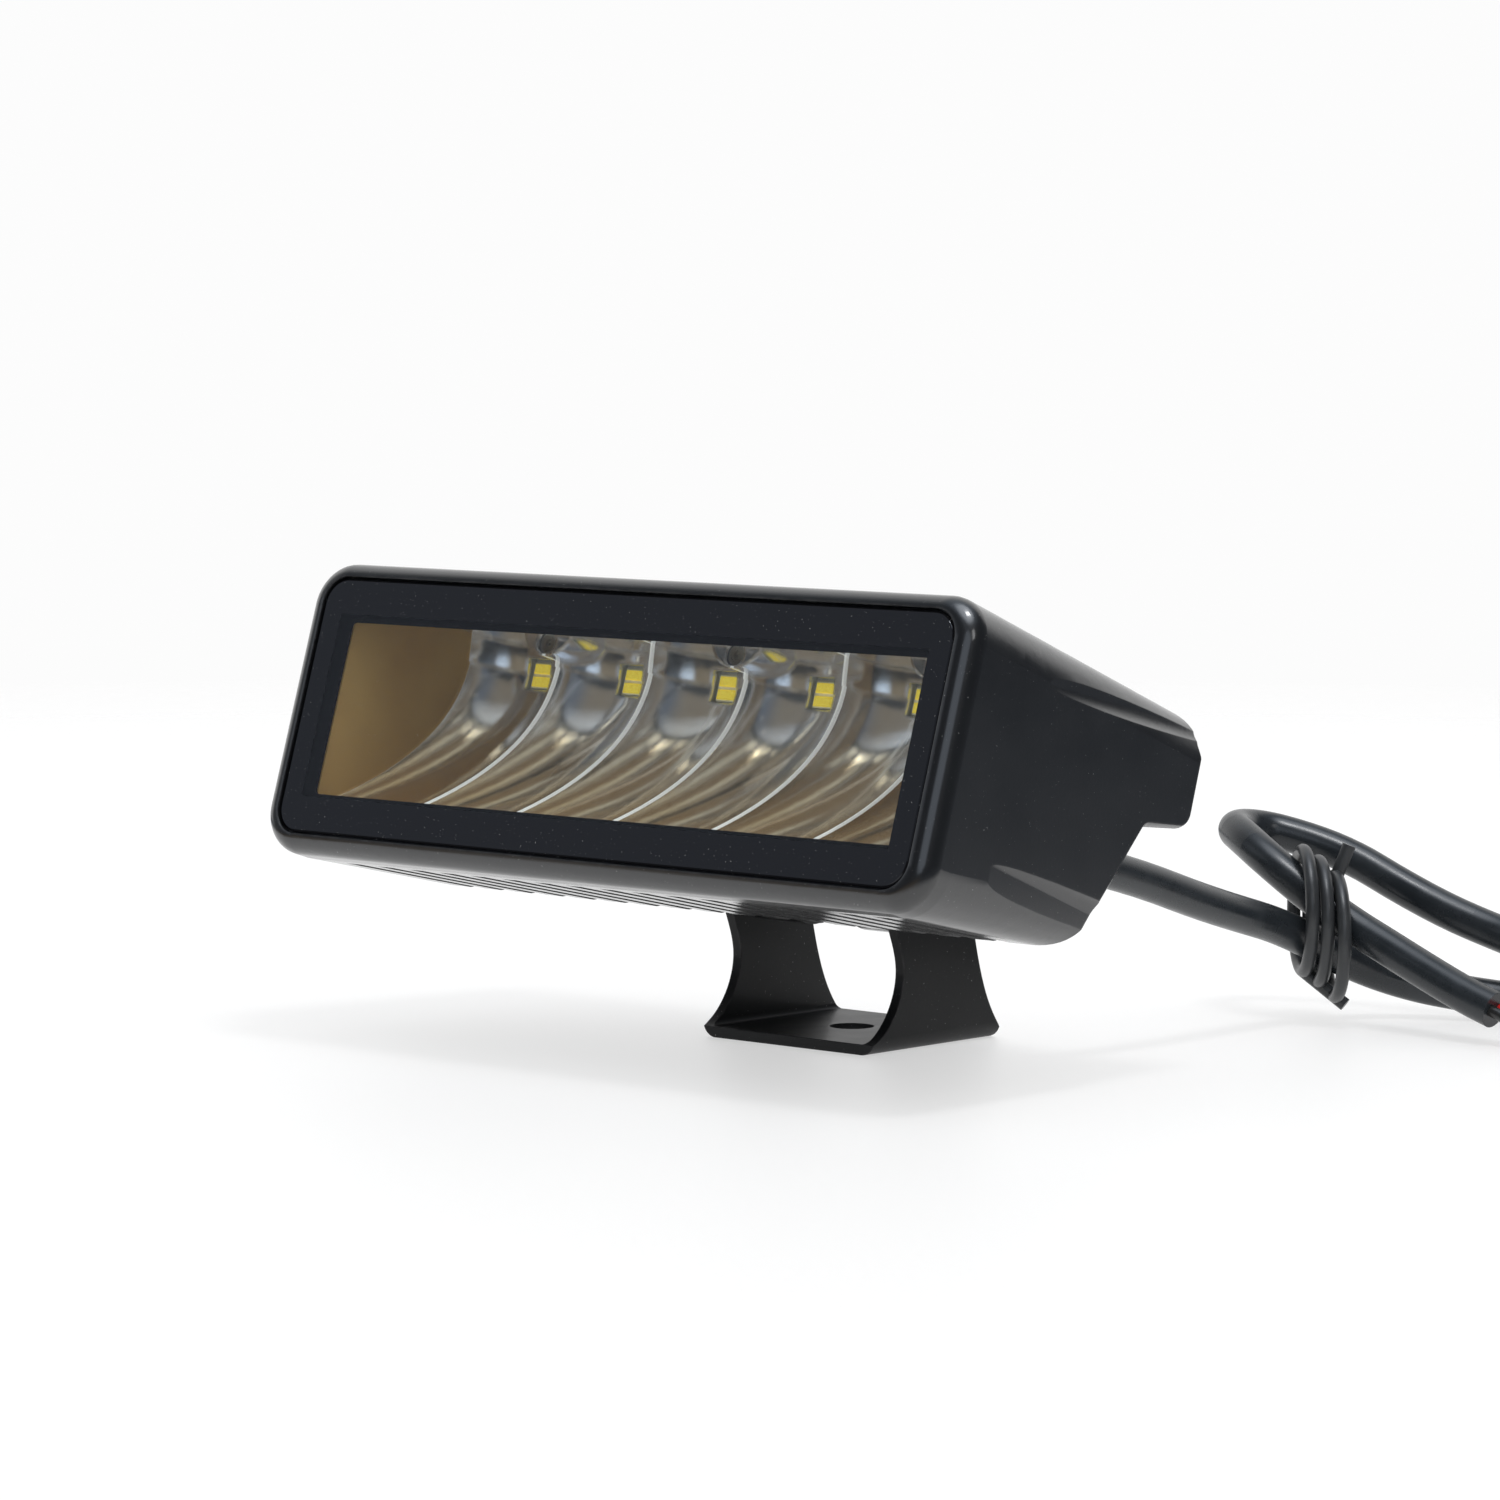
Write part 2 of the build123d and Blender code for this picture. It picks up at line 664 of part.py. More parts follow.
# ---- Foot ----
EAR_FRONT = [(-12.0, 22.5), (-9.9, 15.0), (-12.2, 7.5)]
EAR_REAR = [(14.2, 8.5), (11.6, 16.0), (10.0, 23.0)]


def ear_outline():
    """One ear seen from the side: a round head on a waisted stem."""
    y, z = PIVOT_IN_PART
    half = FOOT_DEPTH / 2
    front, rear = (y - EAR_HEAD_RADIUS, z), (y + EAR_HEAD_RADIUS, z)
    edges = [
        ThreePointArc(rear, (y, z + EAR_HEAD_RADIUS), front),
        Spline(front, *EAR_FRONT, (-half, SHEET)),
        Polyline((-half, SHEET), (-half, -1.0), (half, -1.0), (half, SHEET)),
        Spline((half, SHEET), *EAR_REAR, rear),
    ]
    return make_face(Plane.YZ * Curve(children=edges))


def mounting_bracket():
    """The U-shaped sheet-steel foot with waisted ears, a bolt hole and pivot holes."""
    y, z = PIVOT_IN_PART
    half = FOOT_WIDTH / 2
    outside = box_between((-half, -30.0, 0.0), (half, 30.0, 60.0))
    outside = fillet(outside.edges().filter_by(Axis.Y).group_by(Axis.Z)[0], BEND_INSIDE + SHEET)
    inside = box_between((-half + SHEET, -31.0, SHEET), (half - SHEET, 31.0, 61.0))
    inside = fillet(inside.edges().filter_by(Axis.Y).group_by(Axis.Z)[0], BEND_INSIDE)
    bracket = (outside - inside) & side_block(ear_outline(), -half - 1, half + 1)
    bracket -= rod_z(FOOT_HOLE_RADIUS, -1.0, SHEET + 1.0, 0.0, 0.0)
    return bracket - rod_x(PIVOT_BOLT_RADIUS + PIVOT_CLEARANCE, -half - 1, half + 1, y, z)


# ---- Cable ----
CABLE_RUN = [
    (53.4, 13.8, 33.5),
    (52.0, 44.5, 24.8),
    (51.0, 71.0, 17.3),
    (57.5, 90.0, 8.6),
    (76.0, 101.5, 4.4),
    (104.0, 109.0, 3.6),
    (125.0, 107.0, 5.2),
    (128.0, 93.0, 9.0),
    (108.0, 91.5, 13.0),
    (80.0, 103.5, 15.5),
    (60.0, 101.5, 22.0),
    (38.0, 96.5, 31.8),
    (27.0, 87.5, 35.2),
    (38.0, 75.3, 32.6),
    (56.0, 75.2, 22.0),
    (73.4, 75.0, 14.2),
    (95.1, 73.0, 6.5),
]
CABLE_INSIDE = 42.5
CABLE_FREE_FROM = 66.5
CORE_TAIL = 27.0
STRIPPED = 7.0


def biarc(start, leaving, finish, arriving):
    """Two smoothly joined arcs between two points with given directions."""
    gap = finish - start
    bend = 2 * (1 - leaving.dot(arriving))
    along = gap.dot(leaving + arriving)
    if bend < 1e-6:
        reach = gap.dot(gap) / (4 * gap.dot(arriving))
    else:
        reach = (sqrt(along**2 + bend * gap.dot(gap)) - along) / bend
    middle = (start + finish + (leaving - arriving) * reach) * 0.5
    first = TangentArc(start, middle, tangent=leaving)
    second = TangentArc(middle, finish, tangent=first % 1)
    return [first, second]


def arc_path(points, leaving, arriving):
    """A smooth chain of arcs through points."""
    points = [Vector(*p) for p in points]
    guide = Spline(*points, tangents=(leaving, arriving))
    directions = [guide % guide.param_at_point(p) for p in points]
    arcs = []
    for i in range(len(points) - 1):
        arcs += biarc(points[i], directions[i], points[i + 1], directions[i + 1])
    return arcs


def tube(radius, arcs):
    """A round solid along a chain of arcs."""
    pieces = []
    for arc in arcs:
        start = Plane(origin=arc @ 0, z_dir=arc % 0)
        pieces.append(sweep(start * Circle(radius), path=arc))
    return pieces[0].fuse(*pieces[1:])


def cable_arcs():
    """The cable's centre line outside the gland."""
    start = head_point(GLAND_X, CABLE_FREE_FROM, GLAND_Z)
    along = start - head_point(GLAND_X, CABLE_FREE_FROM - 1, GLAND_Z)
    return arc_path([tuple(start)] + CABLE_RUN, along, Vector(1.0, -0.03, -0.3).normalized())


def cable(arcs):
    """The two-core cable: a straight run through the gland, then the coil."""
    inner = head_place() * rod_y(CABLE_RADIUS, CABLE_INSIDE, CABLE_FREE_FROM, GLAND_X, GLAND_Z)
    return inner + tube(CABLE_RADIUS, arcs)


def core_tail(finish, outward, side):
    """Centre line of a core's free end, spreading away from the other core."""
    across = Vector(0, 0, 1).cross(outward).normalized() * side
    start = finish + across * CORE_OFFSET + outward * 0.02
    middle = start + outward * (CORE_TAIL * 0.45) + Vector(0, side * 2.0, -0.4)
    end = Vector(start.X + CORE_TAIL, start.Y + side * 5.0, CORE_RADIUS + 0.15)
    return Spline(start, middle, end, tangents=(outward, Vector(1.0, side * 0.2, 0.0)))


def core_lead(side):
    """Centre line of a core inside the head, down to the driver board."""
    x = GLAND_X + side * CORE_OFFSET
    points = [(CABLE_INSIDE, GLAND_Z), (38.2, -6.6), (35.5, DRIVER_TOP)]
    start, middle, end = [Vector(x, y, z) for y, z in points]
    return Spline(start, middle, end, tangents=(Vector(0, -1, 0), Vector(0, 0, -1)))


def core_end(tail):
    """The bare copper strands beyond a core's insulation, as one bundle."""
    plane = Plane(origin=tail @ 1, z_dir=tail % 1)
    return extrude(plane * Circle(STRAND_RADIUS), amount=STRIPPED)


# ---- Cable tie ----
TIE_CENTRE = (51.6, 77.2, 19.4)
TIE_TURN = 45.0
TIE_RINGS = ((-2.9, 0.6, 2.0), (0.0, 0.2, 0.0), (2.9, -1.7, -2.7))
TIE_RING_RADIUS = 11.5
TIE_RADIUS = 1.3


def cable_tie():
    """The twist tie: a cord wound three times round both runs, twisted off below."""
    cord = Circle(TIE_RADIUS)
    turns = [Pos(*centre) * Rot(0, 90, 0) * Torus(TIE_RING_RADIUS, TIE_RADIUS) for centre in TIE_RINGS]
    lows = [Vector(x, y, z - TIE_RING_RADIUS) for x, y, z in TIE_RINGS]
    twist = Line(lows[0], lows[-1] + (lows[-1] - lows[0]) * 0.35)
    x, y, z = TIE_RINGS[-1]
    tip = Line((x, y, z + TIE_RING_RADIUS - 0.5), (x + 2.6, y, z + TIE_RING_RADIUS + 6.0))
    tie = turns[0].fuse(*turns[1:], swept(cord, twist), swept(cord, tip))
    return Pos(*TIE_CENTRE) * Rot(0, 0, TIE_TURN) * tie


# ---- Write every piece ----
def save(node, shape):
    """Write one node's STEP file."""
    export_step(shape, "parts/" + node + ".step")


os.makedirs("parts", exist_ok=True)

head_pieces = {
    "housing": housing(),
    "front_lens": front_lens(),
    "lens_mask": lens_mask(),
    "lens_seal": lens_seal(),
    "reflector": reflector(),
    "reflector_screws": reflector_screws(),
    "led_board": led_board(),
    "led_packages": led_packages(),
    "led_phosphors": led_phosphors(),
    "board_screws": board_screws(),
    "thermal_pad": thermal_pad(),
    "driver_board": driver_board(),
    "driver_screws": driver_screws(),
    "driver_inductor": driver_inductor(),
    "driver_capacitors": driver_capacitors(),
    "driver_chips": driver_chips(),
    "link_wires": group([link_wire(20.0), link_wire(46.0)]),
    "cable_gland": cable_gland(),
    "breather_vent": breather_vent(),
    "pivot_bolts": pivot_bolts(),
    "pivot_spring_washers": pivot_spring_washers(),
    "pivot_flat_washers": pivot_flat_washers(),
}
for node, shape in head_pieces.items():
    save(node, head_place() * shape)

save("mounting_bracket", mounting_bracket())

run = cable_arcs()
free_end, outward = run[-1] @ 1, run[-1] % 1
red_tail = core_tail(free_end, outward, 1)
black_tail = core_tail(free_end, outward, -1)
wire = Circle(CORE_RADIUS)
save("cable", cable(run))
save("wire_red", group([swept(wire, red_tail), head_place() * swept(wire, core_lead(1))]))
save("wire_black", group([swept(wire, black_tail), head_place() * swept(wire, core_lead(-1))]))
save("wire_strands", group([core_end(red_tail), core_end(black_tail)]))
save("cable_tie", cable_tie())
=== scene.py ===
from math import cos, pi, radians, sin

import bpy
from mathutils import Matrix, Vector


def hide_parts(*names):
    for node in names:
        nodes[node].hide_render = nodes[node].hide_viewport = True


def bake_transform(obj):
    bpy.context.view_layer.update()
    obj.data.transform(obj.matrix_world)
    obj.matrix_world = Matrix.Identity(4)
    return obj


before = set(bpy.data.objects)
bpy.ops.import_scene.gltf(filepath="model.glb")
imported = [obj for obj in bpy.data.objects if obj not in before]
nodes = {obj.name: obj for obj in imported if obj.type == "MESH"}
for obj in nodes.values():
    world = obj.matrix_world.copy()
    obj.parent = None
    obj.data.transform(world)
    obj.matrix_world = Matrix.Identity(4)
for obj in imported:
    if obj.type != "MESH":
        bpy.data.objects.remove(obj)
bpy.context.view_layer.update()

MM = 0.001
HEAD_TILT = radians(17.5)
PIVOT_IN_HEAD = Vector((0, 73.4, -10.9)) * MM
PIVOT_IN_PART = Vector((0, -2.56, 30.2)) * MM
LED_PITCH = 23.67 * MM
# The next three numbers place painted light in the reflector: the width of the pale painted glint on each
# crest, where the end walls' painted brown reflection starts, and the reach of the bowls' painted reflection
# colour.
GLINT_HALF_WIDTH = 0.42 * MM
END_WALL_FROM = 70.6 * MM
BOWL_REFLECTION_REACH = 12 * MM
BORDER_FROM_X = 71.2 * MM
BORDER_FROM_Z = 17.5 * MM

# The head has its own axes: X across, Y back from the front rim and Z up from the lamp's centre.
HEAD_TO_PART = (
    Matrix.Translation(PIVOT_IN_PART)
    @ Matrix.Rotation(-HEAD_TILT, 4, "X")
    @ Matrix.Translation(-PIVOT_IN_HEAD)
)


# ---- Node material helpers ----
class Shader:
    """A small wrapper that builds one node material."""

    def __init__(self, name):
        self.material = bpy.data.materials.new(name)
        self.material.use_nodes = True
        self.tree = self.material.node_tree
        self.tree.nodes.clear()
        self.out = self.node("ShaderNodeOutputMaterial")
        self.coords = self.node("ShaderNodeTexCoord")

    def node(self, kind, **settings):
        made = self.tree.nodes.new(kind)
        for key, value in settings.items():
            setattr(made, key, value)
        return made

    def link(self, source, target):
        self.tree.links.new(source, target)

    def feed(self, target, value):
        """Sets an input to a number or colour, or links a socket to it."""
        if isinstance(value, bpy.types.NodeSocket):
            self.link(value, target)
        else:
            target.default_value = value

    def bsdf(self, **inputs):
        made = self.node("ShaderNodeBsdfPrincipled")
        for key, value in inputs.items():
            self.feed(made.inputs[key.replace("_", " ")], value)
        return made

    def coloured(self, kind, colour):
        """A shader node that has a plain colour."""
        made = self.node(kind)
        made.inputs["Color"].default_value = colour
        return made

    def layered(self, factor, under, over):
        """A mix of two shader nodes, which shows the second one where the factor is 1."""
        made = self.node("ShaderNodeMixShader")
        self.link(factor, made.inputs["Fac"])
        self.link(under.outputs[0], made.inputs[1])
        self.link(over.outputs[0], made.inputs[2])
        return made

    def beyond(self, value, limit):
        """1 where the value is further than the limit from zero on either side."""
        return self.maths("GREATER_THAN", self.maths("ABSOLUTE", value), limit)

    def noise(self, scale, detail=4.0, rough=0.55, stretch=None):
        """Noise in object space, with the scale in features per metre."""
        made = self.node("ShaderNodeTexNoise")
        made.inputs["Scale"].default_value = scale
        made.inputs["Detail"].default_value = detail
        made.inputs["Roughness"].default_value = rough
        source = self.coords.outputs["Object"]
        if stretch:
            mapping = self.node("ShaderNodeMapping")
            mapping.inputs["Scale"].default_value = stretch
            self.link(source, mapping.inputs["Vector"])
            source = mapping.outputs["Vector"]
        self.link(source, made.inputs["Vector"])
        return made.outputs["Fac"]

    def ramp(self, factor, stops):
        """A colour ramp. Each stop is (position, colour or grey)."""
        made = self.node("ShaderNodeValToRGB")
        ramp = made.color_ramp
        while len(ramp.elements) < len(stops):
            ramp.elements.new(0.5)
        for element, (place, colour) in zip(ramp.elements, stops):
            element.position = place
            element.color = colour if isinstance(colour, tuple) else (colour, colour, colour, 1)
        self.link(factor, made.inputs["Fac"])
        return made.outputs["Color"]

    def map_range(self, value, low, high, new_low, new_high):
        made = self.node("ShaderNodeMapRange")
        for key, number in zip(("From Min", "From Max", "To Min", "To Max"), (low, high, new_low, new_high)):
            made.inputs[key].default_value = number
        self.link(value, made.inputs["Value"])
        return made.outputs["Result"]

    def mix(self, factor, first, second):
        made = self.node("ShaderNodeMix", data_type="RGBA")
        self.feed(made.inputs["Factor"], factor)
        self.feed(made.inputs["A"], first)
        self.feed(made.inputs["B"], second)
        return made.outputs["Result"]

    def maths(self, operation, first, second=0.5):
        made = self.node("ShaderNodeMath", operation=operation)
        self.feed(made.inputs[0], first)
        self.feed(made.inputs[1], second)
        return made.outputs["Value"]

    def bump(self, height, strength, distance, under=None):
        made = self.node("ShaderNodeBump")
        made.inputs["Strength"].default_value = strength
        made.inputs["Distance"].default_value = distance
        self.link(height, made.inputs["Height"])
        if under is not None:
            self.link(under, made.inputs["Normal"])
        return made.outputs["Normal"]

    def soft_edges(self, radius):
        made = self.node("ShaderNodeBevel", samples=6)
        made.inputs["Radius"].default_value = radius
        return made.outputs["Normal"]

    def edge_mask(self, radius):
        """1 near sharp edges and 0 on flat faces."""
        bevel = self.soft_edges(radius)
        geometry = self.node("ShaderNodeNewGeometry")
        dot = self.node("ShaderNodeVectorMath", operation="DOT_PRODUCT")
        self.link(bevel, dot.inputs[0])
        self.link(geometry.outputs["Normal"], dot.inputs[1])
        return self.map_range(dot.outputs["Value"], 0.995, 0.93, 0.0, 1.0)

    def head_coordinates(self):
        """The head's own x, y and z in metres, as three sockets."""
        mapping = self.node("ShaderNodeMapping")
        place = HEAD_TO_PART.inverted()
        mapping.inputs["Location"].default_value = place.to_translation()
        mapping.inputs["Rotation"].default_value = place.to_euler()
        self.link(self.coords.outputs["Object"], mapping.inputs["Vector"])
        split = self.node("ShaderNodeSeparateXYZ")
        self.link(mapping.outputs["Vector"], split.inputs["Vector"])
        return [split.outputs[axis] for axis in "XYZ"]

    def done(self, surface):
        self.link(surface.outputs[0], self.out.inputs["Surface"])
        return self.material


def rgb(r, g, b):
    return (r, g, b, 1.0)


def glow(surface, colour, strength):
    """Lets a surface give off a little light."""
    surface.inputs["Emission Color"].default_value = colour
    surface.inputs["Emission Strength"].default_value = strength


COAT_ROUGHNESS = 0.14
COAT_IOR = 1.65


def coated(name, colour, rough, grain, edge_radius, wear, gloss):
    """Powder coat: fine orange peel, faint mottling, and edges rubbed a little lighter."""
    s = Shader(name)
    mottle = s.noise(90.0, 5.0, 0.6)
    peel = s.noise(grain, 2.0, 0.5)
    patchy = s.ramp(s.noise(260.0), [(0.4, 0.0), (0.7, 1.0)])
    edges = s.maths("MULTIPLY", s.edge_mask(edge_radius * 1.4), patchy)
    dark = tuple(c * 0.75 for c in colour[:3]) + (1.0,)
    base = s.mix(s.ramp(mottle, [(0.35, 0.0), (0.7, 1.0)]), dark, colour)
    base = s.mix(s.maths("MULTIPLY", edges, wear), base, rgb(0.16, 0.16, 0.165))
    dust = s.ramp(s.noise(2600.0, 2.0, 0.5), [(0.735, 0.0), (0.76, 1.0)])
    base = s.mix(s.maths("MULTIPLY", dust, 0.35), base, rgb(0.5, 0.5, 0.5))
    roughness = s.map_range(mottle, 0.3, 0.7, rough - 0.035, rough + 0.045)
    normal = s.bump(peel, 0.10, 0.00012, s.soft_edges(edge_radius))
    surface = s.bsdf(Base_Color=base, Roughness=roughness, Normal=normal)
    surface.inputs["Specular IOR Level"].default_value = 0.2 + 0.2 * gloss
    surface.inputs["Coat Weight"].default_value = gloss
    surface.inputs["Coat Roughness"].default_value = COAT_ROUGHNESS
    surface.inputs["Coat IOR"].default_value = COAT_IOR
    return s.done(surface)


def moulded(name, colour, rough, grain=900.0, strength=0.15, edge_radius=0.00015):
    """Moulded plastic or rubber with a fine grain and slight unevenness."""
    s = Shader(name)
    cloud = s.noise(140.0, 4.0, 0.6)
    lighter = tuple(min(1.0, c * 1.35 + 0.004) for c in colour[:3]) + (1.0,)
    base = s.mix(s.ramp(cloud, [(0.35, 0.0), (0.75, 1.0)]), colour, lighter)
    roughness = s.map_range(cloud, 0.3, 0.7, rough - 0.05, rough + 0.06)
    normal = s.bump(s.noise(grain, 3.0, 0.6), strength, 0.0001, s.soft_edges(edge_radius))
    return s.done(s.bsdf(Base_Color=base, Roughness=roughness, Normal=normal))


def metal(name, colour, rough, stretch=(1, 1, 1), strength=0.12):
    """Bare or plated metal with turned or brushed marks."""
    s = Shader(name)
    marks = s.noise(1400.0, 3.0, 0.6, stretch)
    stain = s.noise(220.0, 4.0, 0.6)
    dull = tuple(c * 0.78 for c in colour[:3]) + (1.0,)
    base = s.mix(s.ramp(stain, [(0.35, 0.0), (0.7, 1.0)]), colour, dull)
    roughness = s.map_range(marks, 0.3, 0.7, rough - 0.06, rough + 0.1)
    normal = s.bump(marks, strength, 0.00005, s.soft_edges(0.00012))
    return s.done(s.bsdf(Base_Color=base, Metallic=1.0, Roughness=roughness, Normal=normal))


def clear_glass():
    """Clear hardened glass with a coated reflection, dust and smears. Its printed border is black."""
    s = Shader("front_glass")
    smear = s.noise(60.0, 5.0, 0.65)
    dust = s.ramp(s.noise(3800.0, 1.0, 0.5), [(0.765, 0.0), (0.785, 1.0)])
    clear = s.coloured("ShaderNodeBsdfTransparent", rgb(0.93, 0.945, 0.94))
    printed = s.coloured("ShaderNodeBsdfDiffuse", rgb(0.005, 0.005, 0.006))
    speck = s.coloured("ShaderNodeBsdfDiffuse", rgb(0.75, 0.75, 0.73))
    gloss = s.coloured("ShaderNodeBsdfGlossy", rgb(0.85, 0.88, 0.95))
    s.feed(gloss.inputs["Roughness"], s.map_range(smear, 0.3, 0.7, 0.03, 0.08))
    x, _, z = s.head_coordinates()
    border = s.maths("MAXIMUM", s.beyond(x, BORDER_FROM_X), s.beyond(z, BORDER_FROM_Z))
    pane = s.layered(border, clear, printed)
    fresnel = s.node("ShaderNodeFresnel")
    fresnel.inputs["IOR"].default_value = 1.42
    outer_side = s.maths("SUBTRACT", 1.0, s.node("ShaderNodeNewGeometry").outputs["Backfacing"])
    shiny = s.layered(s.maths("MULTIPLY", fresnel.outputs["Fac"], outer_side), pane, gloss)
    return s.done(s.layered(s.maths("MULTIPLY", dust, 0.35), shiny, speck))


def printed_mask():
    """Flat black ink behind the glass, slightly uneven."""
    s = Shader("printed_mask")
    darker, lighter = rgb(0.0045, 0.0045, 0.0055), rgb(0.0055, 0.0055, 0.0065)
    tone = s.ramp(s.noise(420.0), [(0.3, darker), (0.7, lighter)])
    return s.done(s.bsdf(Base_Color=tone, Roughness=0.9, Specular_IOR_Level=0.0))


def plated_mirror():
    """Vacuum-plated moulding: bright bowls with a painted reflection colour, pale glowing ridges as a
    painted glint, and dull brown end walls as a painted reflection.
    """
    s = Shader("plated_reflector")
    wave = s.noise(55.0, 2.0, 0.5)
    haze = s.noise(520.0, 4.0, 0.6)
    x, _, z = s.head_coordinates()
    # Painted reflection: the bowls' base colour runs from brown low down to pale blue high up, standing in
    # for the room they mirror.
    upper = s.map_range(z, -BOWL_REFLECTION_REACH, BOWL_REFLECTION_REACH, 0.0, 1.0)
    upper = s.maths("ADD", upper, s.map_range(wave, 0.3, 0.7, -0.12, 0.12))
    low, middle, high = rgb(0.82, 0.66, 0.44), rgb(0.82, 0.76, 0.66), rgb(0.86, 0.89, 0.96)
    base = s.ramp(upper, [(0.0, low), (0.55, middle), (1.0, high)])
    roughness = s.map_range(haze, 0.3, 0.7, 0.08, 0.14)
    normal = s.bump(wave, 0.12, 0.0003, s.soft_edges(0.0012))
    mirror = s.bsdf(Base_Color=base, Metallic=0.88, Roughness=roughness, Normal=normal)

    # Painted highlight: a thin strip along each crest gets a pale colour and a faint glow, standing in for
    # the glint on the ridges.
    pitches = s.maths("DIVIDE", x, LED_PITCH)
    off_ridge = s.maths("ABSOLUTE", s.maths("SUBTRACT", pitches, s.maths("ROUND", pitches, 0.0)))
    on_glint_line = s.maths("LESS_THAN", off_ridge, GLINT_HALF_WIDTH / LED_PITCH)
    ridge_glint = s.bsdf(Base_Color=rgb(0.95, 0.95, 0.93), Roughness=0.3)
    glow(ridge_glint, rgb(0.95, 0.97, 1.0), 0.2)

    # Painted reflection: the end walls get a dull brown base colour that stands in for the brown room they
    # mirror.
    darker, lighter = rgb(0.38, 0.225, 0.075), rgb(0.47, 0.30, 0.105)
    brown_reflection = s.mix(s.ramp(wave, [(0.3, 0.0), (0.7, 1.0)]), darker, lighter)
    end_wall_reflection = s.bsdf(Base_Color=brown_reflection, Roughness=0.5, Normal=s.bump(haze, 0.05, 0.0001))
    bowls = s.layered(on_glint_line, mirror, ridge_glint)
    return s.done(s.layered(s.beyond(x, END_WALL_FROM), bowls, end_wall_reflection))


def phosphor():
    """The LED's yellow face: a waxy, faintly grainy layer."""
    s = Shader("led_phosphor")
    grain = s.noise(2400.0, 3.0, 0.6)
    base = s.ramp(grain, [(0.3, rgb(0.85, 0.62, 0.03)), (0.7, rgb(0.98, 0.82, 0.12))])
    normal = s.bump(grain, 0.2, 0.00005)
    surface = s.bsdf(Base_Color=base, Roughness=0.35, Normal=normal)
    # Painted light: the unlit phosphor is given a faint yellow glow so it reads brighter.
    glow(surface, rgb(0.95, 0.75, 0.08), 0.35)
    return s.done(surface)


def circuit(name, mask_colour, copper_tint):
    """A printed board: solder mask with faint tracks showing under it."""
    s = Shader(name)
    brick = s.node("ShaderNodeTexBrick")
    brick.inputs["Scale"].default_value = 260.0
    brick.inputs["Mortar Size"].default_value = 0.03
    s.link(s.coords.outputs["Object"], brick.inputs["Vector"])
    tracks = s.mix(brick.outputs["Fac"], mask_colour, copper_tint)
    normal = s.bump(brick.outputs["Fac"], 0.25, 0.00005, s.soft_edges(0.0001))
    return s.done(s.bsdf(Base_Color=tracks, Roughness=0.32, Normal=normal))


CAST_BLACK = rgb(0.0050, 0.0056, 0.0068)
FOOT_BLACK = rgb(0.0035, 0.004, 0.0048)
materials = {
    "housing": coated("die_cast_coat", CAST_BLACK, 0.34, 1500.0, 0.0006, 0.15, 0.8),
    "mounting_bracket": coated("foot_coat", FOOT_BLACK, 0.45, 1200.0, 0.0004, 0.22, 0.1),
    "front_lens": clear_glass(),
    "lens_mask": printed_mask(),
    "lens_seal": moulded("silicone_seal", rgb(0.01, 0.01, 0.01), 0.55),
    "reflector": plated_mirror(),
    "reflector_screws": metal("zinc_screw", rgb(0.62, 0.62, 0.58), 0.3),
    "led_board": circuit("led_board_white", rgb(0.78, 0.78, 0.74), rgb(0.7, 0.7, 0.66)),
    "led_packages": moulded("led_body", rgb(0.75, 0.74, 0.66), 0.3),
    "led_phosphors": phosphor(),
    "board_screws": metal("board_screw", rgb(0.6, 0.6, 0.58), 0.32),
    "thermal_pad": moulded("thermal_pad", rgb(0.3, 0.33, 0.37), 0.6),
    "driver_board": circuit("driver_board_green", rgb(0.02, 0.16, 0.05), rgb(0.05, 0.25, 0.08)),
    "driver_screws": metal("driver_screw", rgb(0.6, 0.6, 0.58), 0.32),
    "driver_inductor": moulded("ferrite", rgb(0.03, 0.03, 0.033), 0.5, 500.0, 0.4),
    "driver_capacitors": metal("capacitor_can", rgb(0.66, 0.67, 0.68), 0.25, (1, 1, 12)),
    "driver_chips": moulded("chip_resin", rgb(0.015, 0.015, 0.017), 0.55),
    "link_wires": moulded("link_wire", rgb(0.55, 0.02, 0.015), 0.35),
    "cable_gland": moulded("gland_rubber", rgb(0.008, 0.008, 0.008), 0.5, 700.0, 0.25),
    "breather_vent": moulded("vent_plastic", rgb(0.012, 0.012, 0.013), 0.42),
    "pivot_bolts": metal("stainless_bolt", rgb(0.58, 0.58, 0.57), 0.28, (1, 6, 6)),
    "pivot_spring_washers": metal("stainless_spring", rgb(0.5, 0.5, 0.5), 0.34, (12, 1, 1)),
    "pivot_flat_washers": metal("stainless_washer", rgb(0.6, 0.6, 0.6), 0.3, (12, 1, 1)),
}
for name, material in materials.items():
    mesh = nodes[name].data
    mesh.materials.clear()
    mesh.materials.append(material)


def copied(node, name, material):
    """A piece with a CAD node's shape, which stands for it."""
    mesh = nodes[node].data.copy()
    mesh.materials.clear()
    mesh.materials.append(material)
    piece = bpy.data.objects.new(name, mesh)
    bpy.context.scene.collection.objects.link(piece)
    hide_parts(node)
    return piece


cable_coat = moulded("cable_jacket_pvc", rgb(0.012, 0.015, 0.018), 0.27, 260.0, 0.05)
tie_coat = moulded("tie_rubber", rgb(0.022, 0.024, 0.026), 0.36, 900.0, 0.2)
red_coat = moulded("core_red_pvc", rgb(0.5, 0.015, 0.012), 0.28, 260.0, 0.05)
black_coat = moulded("core_black_pvc", rgb(0.012, 0.012, 0.012), 0.28, 260.0, 0.05)
copper = metal("copper_strands", rgb(0.85, 0.42, 0.24), 0.25, (1, 9, 9), 0.5)

